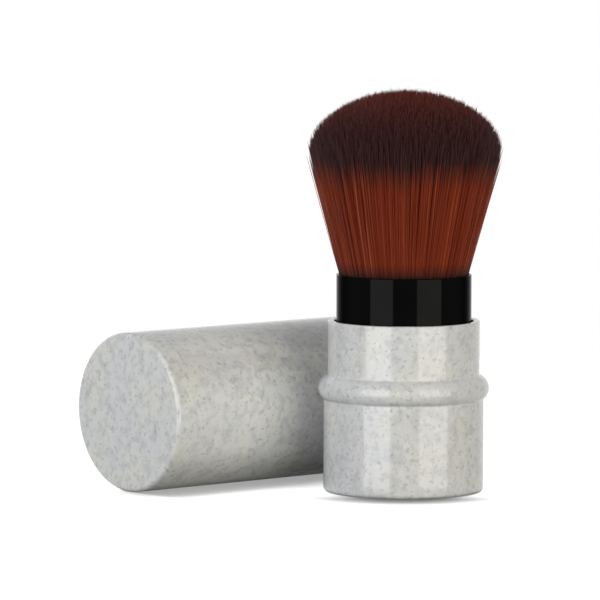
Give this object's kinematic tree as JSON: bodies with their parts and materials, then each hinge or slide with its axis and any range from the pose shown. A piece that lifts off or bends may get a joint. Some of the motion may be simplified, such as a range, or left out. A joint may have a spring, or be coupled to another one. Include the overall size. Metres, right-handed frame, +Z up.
{
  "type": "retractable powder brush",
  "caption": "Short retractable powder brush: a speckled sleeve, a black ferrule with a domed fan of two-tone hair that slides in and out, and its cap lying beside it.",
  "frame": {"origin": "on the floor, under the middle of the box round the brush and its cap", "axes": "+Z up along the brush's axis, from foot to hair; the cap lies along X with its closed end to -X, on the +Y side of the brush"},
  "size_m": [0.0725, 0.077, 0.0903],
  "materials": {
    "speckled_plastic": "glossy moulded plastic, pale grey and cream with fine blue-grey specks",
    "black_plastic": "satin moulded black",
    "black_rubber": "matt moulded black",
    "black_aluminium": "glossy black anodised tube",
    "set_glue": "set resin",
    "two_tone_fibre": "fine synthetic hair, copper brown below and dark brown at the tips"
  },
  "bodies": {
    "base": {"base_sleeve": "speckled_plastic", "friction_ring": "black_rubber", "stop_ring": "black_plastic"},
    "brush_head": {"slider_core": "black_plastic", "push_disc": "speckled_plastic", "ferrule": "black_aluminium", "hair_cup": "black_plastic", "glue_plug": "set_glue", "bristles_inner": "two_tone_fibre", "bristles_outer": "two_tone_fibre"},
    "cap": {"cap_shell": "speckled_plastic"}
  },
  "joints": [
    {"name": "head_slide", "type": "slide", "parent": "base", "child": "brush_head", "axis": [0, 0, 1], "range_m": [-0.0167, 0], "deforming": ["bristles_outer"]},
    {"name": "cap_pull", "type": "slide", "parent": "base", "child": "cap", "axis": [-1, 0, 0], "range_m": [0, 0.066]}
  ]
}
